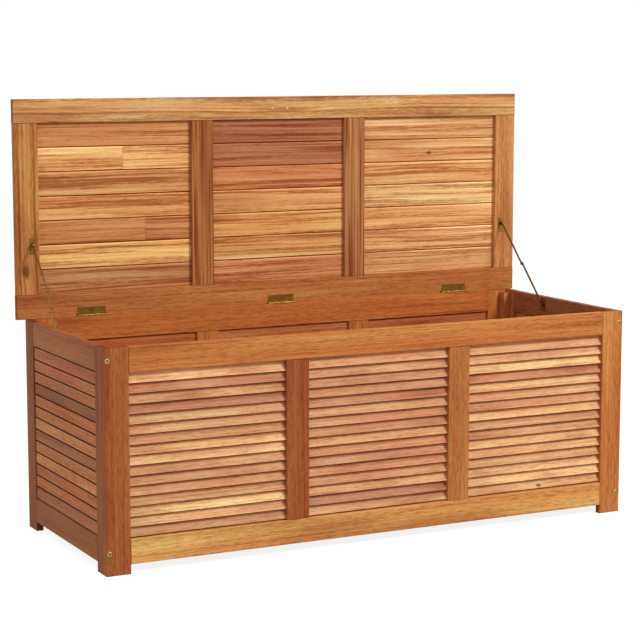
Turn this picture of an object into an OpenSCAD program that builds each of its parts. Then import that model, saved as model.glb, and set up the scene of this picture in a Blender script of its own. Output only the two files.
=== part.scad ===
// Hardwood deck storage box: louvred front, slatted sides and back,
// slatted floor, and a slatted lid on butt hinges with folding stays.
// Millimetres. X runs along the box, Y from front to back, Z up.
// The lid is drawn open, standing upright behind the box.

/* [Box] */
// Length of the box over its posts
box_w = 1200; // [1000:10:1400]
// Depth of the box, front face to back face
box_d = 460; // [420:1:520]
// Height of the box without its lid
box_h = 445; // [400:1:520]
// Thickness of every frame board
board_t = 15; // [14:1:20]
// Width of the front posts
post_w = 51; // [40:1:60]
// Width of the top and bottom rails
rail_w = 50; // [44:1:60]
// Clear height under the bottom rails
foot_clear = 19; // [10:1:40]
// Width of the upright bars between two bays
muntin_w = 50; // [40:1:60]
// Distance between the centres of the two upright bars
muntin_spacing = 376; // [300:1:460]
// Rounding on the long edges of the boards
edge_r = 1.5; // [0.5:0.5:3]

/* [Front louvres] */
// Louvre slats in each bay
louvre_count = 16; // [10:1:20]
// Width of a louvre slat
louvre_w = 24; // [20:0.5:28]
// Thickness of a louvre slat
louvre_t = 6; // [4:0.5:8]
// Lean of a louvre slat from the vertical, lower edge outwards
louvre_tilt = 28; // [20:1:40]
// Depth of the slats' lower edge behind the front face
louvre_setback = 4; // [1:0.5:6]
// Length of slat let into the post or bar at each end
housing = 5; // [3:1:8]

/* [Sides and back] */
// Slats in each side and in each bay of the back
slat_count = 13; // [8:1:16]
// Thickness of a side or back slat
slat_t = 7; // [5:0.5:9]
// Gap between two side or back slats
slat_gap = 2.6; // [1:0.2:5]
// Step from one side or back slat to the next; the two end slats fill what is left
slat_pitch = 24.5; // [23:0.1:25]
// Depth of the slats behind the frame's outer face
slat_setback = 2; // [0:0.5:4]
// Width of a side's front stile, behind the front post
front_stile_w = 35; // [30:1:50]
// Width of a side's rear stile and of the back's end stiles
rear_stile_w = 50; // [40:1:60]

/* [Lid] */
// Depth of the lid, front edge to rear edge
lid_d = 462; // [430:1:520]
// Overhang of the lid past each side
lid_over = 15; // [5:1:30]
// Width of the lid's front and rear rails
lid_rail_w = 50; // [40:1:60]
// Width of the lid's rear rail
lid_rear_w = 52; // [40:1:60]
// Distance that the lid's rear edge lies past the hinge pin's centre
lid_past = 2; // [0:0.5:3]
// Width of the lid's end stiles
lid_stile_w = 52; // [40:1:60]
// Width of the lid's cross bars
lid_muntin_w = 51; // [40:1:60]
// Slats in each bay of the lid
lid_slat_count = 7; // [5:1:9]
// Thickness of a lid slat
lid_slat_t = 5.5; // [5:0.5:8]
// Gap between two lid slats
lid_slat_gap = 1.6; // [1:0.2:2.4]
// Overlap of the lapped edges of two lid slats
lid_lap = 2.6; // [2:0.2:4]
// Depth of the lid slats inside the lid's underside
lid_slat_in = 9; // [6:0.5:9]
// Gap between the shut lid and the box
lid_gap = 1; // [0.5:0.1:2]

/* [Hinges] */
// Distance between two neighbouring hinges
hinge_spacing = 450; // [300:10:500]
// Length of a hinge
hinge_len = 64; // [50:1:80]
// Thickness of a hinge leaf
leaf_t = 1.6; // [1.2:0.2:2]
// Radius of a hinge knuckle
knuckle_r = 3.5; // [3:0.5:4]
// Radius of a hinge pin
pin_r = 1.6; // [1.5:0.1:2]
// Distance from the back of the box to the pin's centre
pin_back = 4; // [4:0.5:6]

/* [Lid stays] */
// Depth of the box-side pivot behind the front face
stay_box_y = 287; // [270:1:300]
// Depth of the box-side pivot below the box's top
stay_box_drop = 18; // [14:1:30]
// Height of the lid-side pivot above the hinge pin
stay_lid_rise = 156; // [140:1:170]
// Distance from the lid's underside to the lid-side pivot
stay_lid_out = 7.5; // [7:0.5:10]
// Width of a stay arm
arm_w = 4.5; // [4:0.5:10]
// Thickness of a stay arm
arm_t = 2; // [1.5:0.5:3]

/* [Floor] */
// Boards in the floor
floor_count = 18; // [12:1:22]
// Width of a floor board
floor_board_w = 60; // [40:1:70]
// Thickness of a floor board
floor_board_t = 10; // [8:1:12]
// Side of the battens under the floor and in the rear corners
batten = 18; // [15:1:20]

/* [Hidden] */
$fn = 48;
fit = 0.1;                 // play around tenons and housings
tenon_t = 7;               // thickness of the frame tenons
tenon_l = 14;              // length of the frame tenons
tenon_in = 8;              // shoulder at each side of a tenon
louvre_r = 1;              // rounding of a louvre's edges
slat_r = 1.2;              // rounding of a slat's edges
plate_t = 1.5;             // thickness of the stay plates
play = 0.3;                // gap between parts that pass each other

open_lo = foot_clear + rail_w;
open_hi = box_h - rail_w;
open_h = open_hi - open_lo;
muntin_x = muntin_spacing / 2;
side_in = box_w / 2 - board_t;
bays = [
  [-box_w / 2 + post_w, -muntin_x - muntin_w / 2],
  [-muntin_x + muntin_w / 2, muntin_x - muntin_w / 2],
  [muntin_x + muntin_w / 2, box_w / 2 - post_w]
];
back_bays = [
  [-side_in + rear_stile_w, bays[0][1]],
  bays[1],
  [bays[2][0], side_in - rear_stile_w]
];

louvre_half_h = (louvre_w * cos(louvre_tilt) + louvre_t * sin(louvre_tilt)) / 2;
louvre_half_d = (louvre_w * sin(louvre_tilt) + louvre_t * cos(louvre_tilt)) / 2;
louvre_y = louvre_setback + louvre_half_d;
louvre_z = open_lo + louvre_half_h + 0.4;
louvre_pitch = (open_hi - louvre_half_h - 0.4 - louvre_z) / (louvre_count - 1);

tongue_t = 3.5;
lap_t = 2.5;

pin_y = box_d + pin_back;
pin_z = box_h;
lid_w = box_w + 2 * lid_over;
lid_y = pin_y + lid_past - lid_d;
lid_z = pin_z + lid_gap;
lid_open_lo = lid_y + lid_rail_w;
lid_open_hi = pin_y + lid_past - lid_rear_w;
lid_pitch = (lid_open_hi - lid_open_lo) / lid_slat_count;
lid_bays = [
  [-lid_w / 2 + lid_stile_w, -muntin_x - lid_muntin_w / 2],
  [-muntin_x + lid_muntin_w / 2, muntin_x - lid_muntin_w / 2],
  [muntin_x + lid_muntin_w / 2, lid_w / 2 - lid_stile_w]
];

bolt_r = 3;
bolt_head_r = 5.5;
bolt_head_h = 4;
bolt_sink = 0.4;
bolt_x = box_w / 2 - board_t / 2;
front_bolt_z = [open_lo - rail_w / 2, box_h - rail_w / 2];
back_bolt_z = [open_lo + 22, box_h - rail_w / 2];
back_bolt_x = side_in - batten / 2;
nut_r = 4.9;
nut_depth = 12;
back_nut_depth = batten - 3;
front_nut_y = 27;
front_bolt_l = 33;
back_bolt_l = 30;
back_nut_y = box_d - board_t - batten / 2;

hinge_xs = [-hinge_spacing, 0, hinge_spacing];
knuckles = 5;
leaf_in = box_d - board_t + 1;
hinge_screw_y = box_d - 7.5;

stay_box_z = box_h - stay_box_drop;
stay_lid_y = pin_y + lid_gap - stay_lid_out;
stay_lid_z = pin_z + stay_lid_rise;
elbow_y = (stay_box_y + stay_lid_y) / 2;
elbow_z = (stay_box_z + stay_lid_z) / 2;
arm_l = norm([elbow_y - stay_box_y, elbow_z - stay_box_z]);
arm_turn = atan2(elbow_z - stay_box_z, elbow_y - stay_box_y);
lower_x = -side_in + plate_t + play;
upper_x = lower_x + arm_t + play;
lug_x = upper_x + arm_t + play;
rivet_r = 1.6;
rivet_head_r = 2.7;
eye_r = 3.8;
lug_r = 4.2;

floor_z = foot_clear + 5 + batten;
floor_pitch = (2 * side_in - 2) / floor_count;
ledger_l = 2 * side_in - 50;
handle_rise = 20;
handle_y = lid_y + lid_rail_w / 2 + 3;
handle_half = 18;
rest_d = pin_y + lid_gap + board_t + handle_rise + 4;

acacia = [0.72, 0.44, 0.24];
acacia_dark = [0.60, 0.34, 0.18];
acacia_light = [0.82, 0.56, 0.36];
bronze = [0.48, 0.38, 0.20];

// ---- placing ----

// Puts the open box's footprint centre at the origin.
module at_row() translate([0, -rest_d / 2, 0]) children();

// Turns a shut lid upright about the hinge pin.
module opened() {
  translate([0, pin_y, pin_z]) rotate([-90, 0, 0]) translate([0, -pin_y, -pin_z]) children();
}

// Draws a left-hand part on the left (-1) or mirrored to the right (1).
module side(s) {
  if (s < 0) children();
  else mirror([1, 0, 0]) children();
}

// ---- stock ----

// Rectangle with rounded corners.
module round_rect(a, b, r) {
  translate([r, 0]) square([a - 2 * r, b]);
  translate([0, r]) square([a, b - 2 * r]);
  for (x = [r, a - r], y = [r, b - r]) translate([x, y]) circle(r);
}

module board_along_x(l, dy, dz, r = edge_r) {
  rotate([90, 0, 90]) linear_extrude(l) round_rect(dy, dz, r);
}

module board_along_y(l, dx, dz, r = edge_r) {
  translate([0, l, 0]) rotate([90, 0, 0]) linear_extrude(l) round_rect(dx, dz, r);
}

module board_along_z(l, dx, dy, r = edge_r) {
  linear_extrude(l) round_rect(dx, dy, r);
}

// Cuboid from one corner to the other, grown by g on every side.
module block(a, b, g = 0) {
  translate([a[0] - g, a[1] - g, a[2] - g])
    cube([b[0] - a[0] + 2 * g, b[1] - a[1] + 2 * g, b[2] - a[2] + 2 * g]);
}

// Countersunk screw pointing down from the origin, grown by g.
module screw(l, r = 1.6, g = 0) {
  translate([0, 0, -l]) cylinder(h = l, r = r + g);
  translate([0, 0, -2.2]) cylinder(h = 2.2, r1 = r + g, r2 = 2 * r + g);
}

// Bolt with a hex socket, its head just below a face that looks to -Y.
module bolt(l) {
  rotate([-90, 0, 0]) difference() {
    union() {
      translate([0, 0, bolt_sink]) cylinder(h = bolt_head_h, r = bolt_head_r);
      translate([0, 0, bolt_sink]) cylinder(h = l - bolt_sink, r = bolt_r);
    }
    cylinder(h = 3, r = 2.9, $fn = 6);
  }
}

// Hole and counterbore for that bolt.
module bolt_hole(l) {
  rotate([-90, 0, 0]) {
    translate([0, 0, -1]) cylinder(h = 1 + bolt_sink + bolt_head_h, r = bolt_head_r + fit);
    cylinder(h = l + fit, r = bolt_r + fit);
  }
}

// ---- front ----

module louvre_rows() {
  for (i = [0 : louvre_count - 1])
    translate([0, louvre_y, louvre_z + i * louvre_pitch]) rotate([-louvre_tilt, 0, 0])
      translate([0, -louvre_t / 2, -louvre_w / 2]) children();
}

module louvres(bay) {
  len = bay[1] - bay[0] + 2 * housing;
  louvre_rows() translate([bay[0] - housing, 0, 0])
    board_along_x(len, louvre_t, louvre_w, louvre_r);
}

// Slots that take the ends of the louvres at x, on its left or right side.
module louvre_housings(x) {
  h = housing + 0.2;
  louvre_rows() block([x - h, 0, 0], [x + h, louvre_t, louvre_w], fit / 2);
}

// Tenon of a horizontal front or back rail that ends at x.
module rail_tenon(x, y, z, g = 0) {
  block([x - tenon_l - g, y + 4, z + tenon_in], [x + tenon_l + g, y + 4 + tenon_t, z + rail_w - tenon_in], g);
}

// Tenon of an upright bar centred on x that ends at z.
module bar_tenon(x, y, z, g = 0) {
  w = muntin_w / 2 - tenon_in;
  block([x - w, y + 4, z - tenon_l - g], [x + w, y + 4 + tenon_t, z + tenon_l + g], g);
}

module front_post(s) {
  side(s) difference() {
    translate([-box_w / 2, 0, 0]) board_along_z(box_h, post_w, board_t);
    louvre_housings(bays[0][0]);
    for (z = [foot_clear, open_hi]) rail_tenon(bays[0][0], 0, z, fit);
    for (z = front_bolt_z) translate([-bolt_x, 0, z]) bolt_hole(front_bolt_l);
  }
}

module front_rail(z, seam_z) {
  difference() {
    union() {
      translate([bays[0][0], 0, z]) board_along_x(bays[2][1] - bays[0][0], board_t, rail_w);
      for (x = [bays[0][0], bays[2][1]]) rail_tenon(x, 0, z);
    }
    for (x = [-muntin_x, muntin_x]) bar_tenon(x, 0, seam_z, fit);
    children();
  }
}

module front_bar(x) {
  difference() {
    union() {
      translate([x - muntin_w / 2, 0, open_lo]) board_along_z(open_h, muntin_w, board_t);
      for (z = [open_lo, open_hi]) bar_tenon(x, 0, z);
    }
    for (e = [x - muntin_w / 2, x + muntin_w / 2]) louvre_housings(e);
  }
}

module front_left_post() color(acacia) at_row() front_post(-1);
module front_right_post() color(acacia) at_row() front_post(1);
module front_top_rail() color(acacia) at_row() front_rail(open_hi, open_hi);
module front_bottom_rail() color(acacia) at_row()
  front_rail(foot_clear, open_lo) ledger_screw_set(-1, fit);
module front_left_bar() color(acacia) at_row() front_bar(-muntin_x);
module front_right_bar() color(acacia) at_row() front_bar(muntin_x);
module louvres_left() color(acacia_light) at_row() louvres(bays[0]);
module louvres_centre() color(acacia_light) at_row() louvres(bays[1]);
module louvres_right() color(acacia_light) at_row() louvres(bays[2]);

// ---- sides ----

side_y0 = board_t + front_stile_w;
side_y1 = box_d - rear_stile_w;
tongue_in = slat_setback + (slat_t - tongue_t) / 2;

// Tenon of a side rail that ends at y.
module side_tenon(y, z, g = 0) {
  x = -box_w / 2 + 4;
  block([x, y - tenon_l - g, z + tenon_in], [x + tenon_t, y + tenon_l + g, z + rail_w - tenon_in], g);
}

// Groove that takes the side slats' tongues at y.
module side_groove(y) {
  x = -box_w / 2 + tongue_in;
  block([x, y - housing - 0.2, open_lo], [x + tongue_t, y + housing + 0.2, open_hi], fit);
}

module side_front_stile(s) {
  side(s) difference() {
    translate([-box_w / 2, board_t, 0]) board_along_z(box_h, board_t, front_stile_w);
    side_groove(side_y0);
    for (z = [foot_clear, open_hi]) side_tenon(side_y0, z, fit);
    for (z = front_bolt_z) {
      translate([-bolt_x, 0, z]) bolt_hole(front_bolt_l);
      translate([-side_in - nut_depth - fit, front_nut_y, z]) rotate([0, 90, 0])
        cylinder(h = board_t, r = nut_r + fit);
    }
  }
}

module side_rear_stile(s) {
  side(s) difference() {
    translate([-box_w / 2, side_y1, 0]) board_along_z(box_h, board_t, rear_stile_w);
    side_groove(side_y1);
    for (z = [foot_clear, open_hi]) side_tenon(side_y1, z, fit);
    batten_screw_set(fit);
  }
}

module side_rail(s, z) {
  side(s) difference() {
    union() {
      translate([-box_w / 2, side_y0, z]) board_along_y(side_y1 - side_y0, board_t, rail_w);
      for (y = [side_y0, side_y1]) side_tenon(y, z);
    }
    children();
  }
}

// Middle of the gap under slat i, and the slat's lower and upper edges. The end slats stay
// the distance e off the rails.
function slat_seam(i) = (open_lo + open_hi) / 2 + (i - slat_count / 2) * slat_pitch;
function slat_lo(i, e) = i == 0 ? open_lo + e : slat_seam(i) + slat_gap / 2;
function slat_hi(i, e) = i == slat_count - 1 ? open_hi - e : slat_seam(i + 1) - slat_gap / 2;

module side_slats(s) {
  len = side_y1 - side_y0;
  side(s) for (i = [0 : slat_count - 1]) {
    h = slat_hi(i, slat_gap) - slat_lo(i, slat_gap);
    translate([-box_w / 2, side_y0, slat_lo(i, slat_gap)]) {
      translate([slat_setback, 0.1, 0]) board_along_y(len - 0.2, slat_t, h, slat_r);
      block([tongue_in, -housing, 2], [tongue_in + tongue_t, len + housing, h - 2]);
    }
  }
}

module left_front_stile() color(acacia_dark) at_row() side_front_stile(-1);
module left_rear_stile() color(acacia_dark) at_row() side_rear_stile(-1);
module left_top_rail() color(acacia) at_row() side_rail(-1, open_hi) stay_box_screw_set(fit);
module left_bottom_rail() color(acacia) at_row() side_rail(-1, foot_clear);
module left_slats() color(acacia) at_row() side_slats(-1);
module right_front_stile() color(acacia_dark) at_row() side_front_stile(1);
module right_rear_stile() color(acacia_dark) at_row() side_rear_stile(1);
module right_top_rail() color(acacia) at_row() side_rail(1, open_hi) stay_box_screw_set(fit);
module right_bottom_rail() color(acacia) at_row() side_rail(1, foot_clear);
module right_slats() color(acacia) at_row() side_slats(1);

// ---- back ----

back_y = box_d - board_t;

// Groove that takes the back slats' tongues at x.
module back_groove(x) {
  y = box_d - tongue_in - tongue_t;
  block([x - housing - 0.2, y, open_lo], [x + housing + 0.2, y + tongue_t, open_hi], fit);
}

module back_stile(s) {
  x = back_bays[0][0];
  side(s) difference() {
    translate([-side_in, back_y, foot_clear])
      board_along_z(box_h - foot_clear, rear_stile_w, board_t);
    back_groove(x);
    for (z = [foot_clear, open_hi]) rail_tenon(x, back_y, z, fit);
    at_back_bolts() bolt_hole(back_bolt_l);
  }
}

module back_rail(z, seam_z) {
  difference() {
    union() {
      translate([back_bays[0][0], back_y, z])
        board_along_x(back_bays[2][1] - back_bays[0][0], board_t, rail_w);
      for (x = [back_bays[0][0], back_bays[2][1]]) rail_tenon(x, back_y, z);
    }
    for (x = [-muntin_x, muntin_x]) bar_tenon(x, back_y, seam_z, fit);
    children();
  }
}

module back_bar(x) {
  difference() {
    union() {
      translate([x - muntin_w / 2, back_y, open_lo]) board_along_z(open_h, muntin_w, board_t);
      for (z = [open_lo, open_hi]) bar_tenon(x, back_y, z);
    }
    for (e = [x - muntin_w / 2, x + muntin_w / 2]) back_groove(e);
  }
}

module back_slats(bay) {
  len = bay[1] - bay[0];
  y = box_d - slat_setback - slat_t;
  for (i = [0 : slat_count - 1]) {
    h = slat_hi(i, fit) - slat_lo(i, fit);
    translate([bay[0], 0, slat_lo(i, fit)]) {
      translate([0.1, y, 0]) board_along_x(len - 0.2, slat_t, h, slat_r);
      block([-housing, box_d - tongue_in - tongue_t, 2], [len + housing, box_d - tongue_in, h - 2]);
    }
  }
}

module back_left_stile() color(acacia_dark) at_row() back_stile(-1);
module back_right_stile() color(acacia_dark) at_row() back_stile(1);
module back_top_rail() color(acacia) at_row() back_rail(open_hi, open_hi) hinge_box_cuts();
module back_bottom_rail() color(acacia) at_row()
  back_rail(foot_clear, open_lo) ledger_screw_set(1, fit);
module back_left_bar() color(acacia) at_row() back_bar(-muntin_x);
module back_right_bar() color(acacia) at_row() back_bar(muntin_x);
module back_slats_left() color(acacia_light) at_row() back_slats(back_bays[0]);
module back_slats_centre() color(acacia_light) at_row() back_slats(back_bays[1]);
module back_slats_right() color(acacia_light) at_row() back_slats(back_bays[2]);

// ---- rear corners and floor ----

module batten_screw_set(g = 0) {
  for (z = [150, 245, 340])
    translate([-side_in + batten, back_nut_y, z]) rotate([0, 90, 0]) screw(28, 2, g);
}

// Puts what is drawn for a face at -Y on the back, at the left corner's bolts.
module at_back_bolts() {
  for (z = back_bolt_z) translate([-back_bolt_x, box_d, z]) mirror([0, 1, 0]) children();
}

module corner_batten(s) {
  z = floor_z + floor_board_t;
  side(s) difference() {
    translate([-side_in, back_y - batten, z]) board_along_z(box_h - 6 - z, batten, batten, 1);
    batten_screw_set(fit);
    at_back_bolts() bolt_hole(back_bolt_l);
    for (z = back_bolt_z) translate([-side_in + batten - back_nut_depth - fit, back_nut_y, z])
      rotate([0, 90, 0]) cylinder(h = batten, r = nut_r + fit);
  }
}

module ledger_screw_set(s, g = 0) {
  y = s < 0 ? board_t + batten : back_y - batten;
  for (x = [-2 : 2]) translate([x * 250, y, floor_z - batten / 2])
    rotate([s < 0 ? -90 : 90, 0, 0]) screw(batten + 9, 2, g);
}

module floor_ledger(s) {
  difference() {
    translate([-ledger_l / 2, s < 0 ? board_t : back_y - batten, floor_z - batten])
      board_along_x(ledger_l, batten, batten, 1);
    ledger_screw_set(s, fit);
    floor_screw_set(fit);
  }
}

module floor_screw_set(g = 0) {
  for (i = [0 : floor_count - 1], y = [board_t + batten / 2, back_y - batten / 2])
    translate([(i + 0.5 - floor_count / 2) * floor_pitch, y, floor_z + floor_board_t])
      screw(22, 1.6, g);
}

module floor_board(i) {
  x = (i + 0.5 - floor_count / 2) * floor_pitch - floor_board_w / 2;
  translate([x, board_t + 1, floor_z])
    board_along_y(back_y - board_t - 2, floor_board_w, floor_board_t, 1);
}

module corner_battens() color(acacia) at_row() for (s = [-1, 1]) corner_batten(s);
module floor_ledgers() color(acacia) at_row() for (s = [-1, 1]) floor_ledger(s);
module batten_screws() color(bronze) at_row() for (s = [-1, 1]) {
  side(s) batten_screw_set();
  ledger_screw_set(s);
}
module floor_boards() color(acacia) at_row() difference() {
  for (i = [0 : floor_count - 1]) floor_board(i);
  floor_screw_set(fit);
}
module floor_screws() color(bronze) at_row() floor_screw_set();

module front_bolts() color(bronze) at_row() for (s = [-1, 1], z = front_bolt_z)
  side(s) translate([-bolt_x, 0, z]) bolt(front_bolt_l);
module back_bolts() color(bronze) at_row() for (s = [-1, 1])
  side(s) at_back_bolts() bolt(back_bolt_l);

// Cross dowel let in from x by l towards -X, drilled for the bolt at hole_x.
module barrel_nut(x, y, z, l, hole_x) {
  difference() {
    translate([x - l, y, z]) rotate([0, 90, 0]) cylinder(h = l, r = nut_r);
    translate([hole_x, y - 10, z]) rotate([-90, 0, 0]) cylinder(h = 20, r = bolt_r + fit);
  }
}

module barrel_nuts() color(bronze) at_row() for (s = [-1, 1]) side(s) {
  for (z = front_bolt_z) barrel_nut(-side_in, front_nut_y, z, nut_depth, -bolt_x);
  for (z = back_bolt_z)
    barrel_nut(-side_in + batten, back_nut_y, z, back_nut_depth, -back_bolt_x);
}

// ---- hinges ----

// Knuckle segments i = first, first + 2, ... of one hinge, with their tabs.
module knuckle_set(first, bore, tab_z) {
  seg = hinge_len / knuckles;
  for (i = [first : 2 : knuckles - 1])
    translate([-hinge_len / 2 + i * seg + play / 2, 0, 0]) difference() {
      union() {
        translate([0, pin_y, pin_z]) rotate([0, 90, 0]) cylinder(h = seg - play, r = knuckle_r);
        block([0, leaf_in + 2, tab_z], [seg - play, pin_y - 1, tab_z + leaf_t]);
      }
      translate([-1, pin_y, pin_z]) rotate([0, 90, 0]) cylinder(h = seg + 2, r = bore);
    }
}

module hinge_screw_set(z, up, g = 0) {
  for (h = hinge_xs, x = [-22, 0, 22]) translate([h + x, hinge_screw_y, z])
    rotate([up ? 180 : 0, 0, 0]) screw(11, 1.5, g);
}

// One leaf per hinge: the lower face is at z and the knuckles start at first.
module hinge_leaves(z, first, bore, up) {
  difference() {
    for (h = hinge_xs) translate([h, 0, 0]) {
      block([-hinge_len / 2, leaf_in, z], [hinge_len / 2, box_d + 0.2, z + leaf_t]);
      knuckle_set(first, bore, z);
    }
    hinge_screw_set(up ? z : z + leaf_t, up, fit / 2);
  }
}

module hinge_box_cuts() {
  for (h = hinge_xs)
    block([h - hinge_len / 2, leaf_in, box_h - leaf_t], [h + hinge_len / 2, box_d + 1, box_h + 1], fit);
  hinge_screw_set(box_h, false, fit);
}

module hinge_lid_cuts() {
  for (h = hinge_xs) {
    block([h - hinge_len / 2, leaf_in, lid_z - 1], [h + hinge_len / 2, pin_y + 1, lid_z + leaf_t], fit);
    translate([h - hinge_len / 2 - 2, pin_y, pin_z]) rotate([0, 90, 0])
      cylinder(h = hinge_len + 4, r = knuckle_r + 0.4);
  }
  hinge_screw_set(lid_z, true, fit);
}

module hinge_box_leaves() color(bronze) at_row() hinge_leaves(box_h - leaf_t, 0, pin_r + 0.02, false);
module hinge_lid_leaves() color(bronze) at_row() opened() hinge_leaves(lid_z, 1, pin_r + 0.07, true);
module hinge_box_screws() color(bronze) at_row() hinge_screw_set(box_h, false);
module hinge_lid_screws() color(bronze) at_row() opened() hinge_screw_set(lid_z, true);

module hinge_pins() color(bronze) at_row() for (h = hinge_xs)
  translate([h - hinge_len / 2, pin_y, pin_z]) rotate([0, 90, 0]) {
    cylinder(h = hinge_len, r = pin_r);
    for (x = [-1.2, hinge_len]) translate([0, 0, x]) cylinder(h = 1.2, r = pin_r + 0.8);
  }

// ---- lid, drawn shut ----

lid_tenon_z = lid_z + 4;
lid_tenon_t = 4.5;

// Tenon of a lid stile or bar between x0 and x1 that ends at y.
module lid_tenon(x0, x1, y, g = 0) {
  block([x0 + tenon_in, y - tenon_l - g, lid_tenon_z],
    [x1 - tenon_in, y + tenon_l + g, lid_tenon_z + lid_tenon_t], g);
}

lid_bars = [
  [-lid_w / 2, -lid_w / 2 + lid_stile_w],
  [lid_bays[0][1], lid_bays[1][0]],
  [lid_bays[1][1], lid_bays[2][0]],
  [lid_w / 2 - lid_stile_w, lid_w / 2]
];

module lid_rail(y, seam_y, w) {
  difference() {
    translate([-lid_w / 2, y, lid_z]) board_along_x(lid_w, w, board_t);
    for (b = lid_bars) lid_tenon(b[0], b[1], seam_y, fit);
    lid_rail_grooves(seam_y);
    children();
  }
}

// Groove that takes the lid slats' tongues at x.
module lid_groove(x) {
  block([x - housing - 0.2, lid_open_lo, lid_z + lid_slat_in],
    [x + housing + 0.2, lid_open_hi, lid_z + lid_slat_in + lap_t], fit);
}

// Grooves in a rail, over the bays, that take the outer slats at y.
module lid_rail_grooves(y) {
  for (bay = lid_bays)
    block([bay[0], y - housing - 0.2, lid_z + lid_slat_in],
      [bay[1], y + housing + 0.2, lid_z + lid_slat_in + lap_t], fit);
}

module lid_bar(b) {
  difference() {
    union() {
      translate([b[0], lid_open_lo, lid_z])
        board_along_y(lid_open_hi - lid_open_lo, b[1] - b[0], board_t);
      for (y = [lid_open_lo, lid_open_hi]) lid_tenon(b[0], b[1], y);
    }
    for (x = b) if (abs(x) < lid_w / 2 - 1) lid_groove(x);
    children();
  }
}

// Section of a lid slat: a rounded board, its outer half lapped towards the front.
module lid_slat_section(w, first, last) {
  lap = first ? 0 : lid_lap;
  difference() {
    translate([-lap, 0]) round_rect(w + lap, lid_slat_t, slat_r);
    translate([-lap - 1, -1]) square([lap + 1, lid_slat_t - lap_t + 1]);
    if (!last) translate([w - lid_lap, lid_slat_t - lap_t - play]) square([lid_lap + 1, lap_t + 1]);
  }
  if (first) translate([-lid_slat_gap / 2 - housing, 0]) square([housing + 2, lap_t]);
  if (last) translate([w - 2, 0]) square([housing + 2 + lid_slat_gap / 2, lap_t]);
}

module lid_slats(bay) {
  len = bay[1] - bay[0];
  w = lid_pitch - lid_slat_gap;
  for (i = [0 : lid_slat_count - 1])
    translate([bay[0], lid_open_lo + i * lid_pitch + lid_slat_gap / 2, lid_z + lid_slat_in]) {
      translate([0.1, 0, 0]) rotate([90, 0, 90]) linear_extrude(len - 0.2)
        lid_slat_section(w, i == 0, i == lid_slat_count - 1);
      block([-housing, 3, 0], [len + housing, w - 3, lap_t]);
    }
}

module lid_front_rail() color(acacia) at_row() opened()
  lid_rail(lid_y, lid_open_lo, lid_rail_w) at_handle_screws()
    translate([0, 0, -1]) cylinder(h = board_t + 2, r = 2 + fit);
module lid_rear_rail() color(acacia) at_row() opened()
  lid_rail(lid_open_hi, lid_open_hi, lid_rear_w) hinge_lid_cuts();
module lid_left_stile() color(acacia) at_row() opened()
  lid_bar(lid_bars[0]) stay_lid_screw_set(fit);
module lid_left_bar() color(acacia) at_row() opened() lid_bar(lid_bars[1]);
module lid_right_bar() color(acacia) at_row() opened() lid_bar(lid_bars[2]);
module lid_right_stile() color(acacia) at_row() opened()
  lid_bar(lid_bars[3]) side(1) stay_lid_screw_set(fit);
module lid_slats_left() color(acacia_light) at_row() opened() lid_slats(lid_bays[0]);
module lid_slats_centre() color(acacia_light) at_row() opened() lid_slats(lid_bays[1]);
module lid_slats_right() color(acacia_light) at_row() opened() lid_slats(lid_bays[2]);

// ---- handle on the lid's outer face ----

module at_handle_screws() {
  for (x = [-handle_half, handle_half]) translate([x, handle_y, lid_z]) children();
}

module lid_handle() color(bronze) at_row() opened()
  translate([0, handle_y, lid_z + board_t]) difference() {
    union() {
      for (x = [-handle_half, handle_half]) translate([x, 0, 0]) {
        cylinder(h = 2, r = 6);
        cylinder(h = handle_rise, r = 4);
      }
      translate([-handle_half - 10, 0, handle_rise]) rotate([0, 90, 0])
        cylinder(h = 2 * handle_half + 20, r = 4);
    }
    for (x = [-handle_half, handle_half]) translate([x, 0, -1]) cylinder(h = 7.2, r = 2 + fit);
  }

module handle_screws() color(bronze) at_row() opened() at_handle_screws() {
  cylinder(h = board_t + 6, r = 2);
  translate([0, 0, -1.2]) difference() {
    cylinder(h = 1.2, r = 3.4);
    translate([-3, -0.4, -1]) cube([6, 0.8, 1.6]);
  }
}

// ---- lid stays, drawn on the left ----

// Disc across X at a pivot.
module pivot(x, y, z, l, r) {
  translate([x, y, z]) rotate([0, 90, 0]) cylinder(h = l, r = r);
}

module stay_box_screw_set(g = 0) {
  for (z = [-9.5, 9.5]) translate([-side_in + plate_t, stay_box_y, stay_box_z + z])
    rotate([0, 90, 0]) screw(11, 1.2, g);
}

module stay_box_plate(s) {
  side(s) difference() {
    union() {
      block([-side_in, stay_box_y - 8, stay_box_z - 14],
        [-side_in + plate_t, stay_box_y + 8, stay_box_z + 14]);
      pivot(-side_in, stay_box_y, stay_box_z, upper_x + side_in, rivet_r);
      pivot(lower_x + arm_t + play, stay_box_y, stay_box_z, 1.2, rivet_head_r);
    }
    stay_box_screw_set(fit / 2);
  }
}

// Lid screws, drawn with the lid shut.
module stay_lid_screw_set(g = 0) {
  for (y = [-10, 15]) translate([lug_x, pin_y - stay_lid_rise + y, lid_z - plate_t])
    rotate([180, 0, 0]) screw(11, 1.2, g);
}

// Lid bracket, drawn with the lid open.
module stay_lid_bracket(s) {
  y = pin_y + lid_gap - plate_t;
  side(s) difference() {
    union() {
      block([lug_x - 6, y, stay_lid_z - 20], [lug_x + 6, y + plate_t, stay_lid_z + 14]);
      block([lug_x, stay_lid_y, stay_lid_z - lug_r], [lug_x + plate_t, y, stay_lid_z + lug_r]);
      pivot(lug_x, stay_lid_y, stay_lid_z, plate_t, lug_r);
      pivot(upper_x - play - 1.2, stay_lid_y, stay_lid_z, lug_x - upper_x + 1.5, rivet_r);
      pivot(upper_x - play - 1.2, stay_lid_y, stay_lid_z, 1.2, rivet_head_r);
    }
    opened() stay_lid_screw_set(fit / 2);
  }
}

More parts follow.
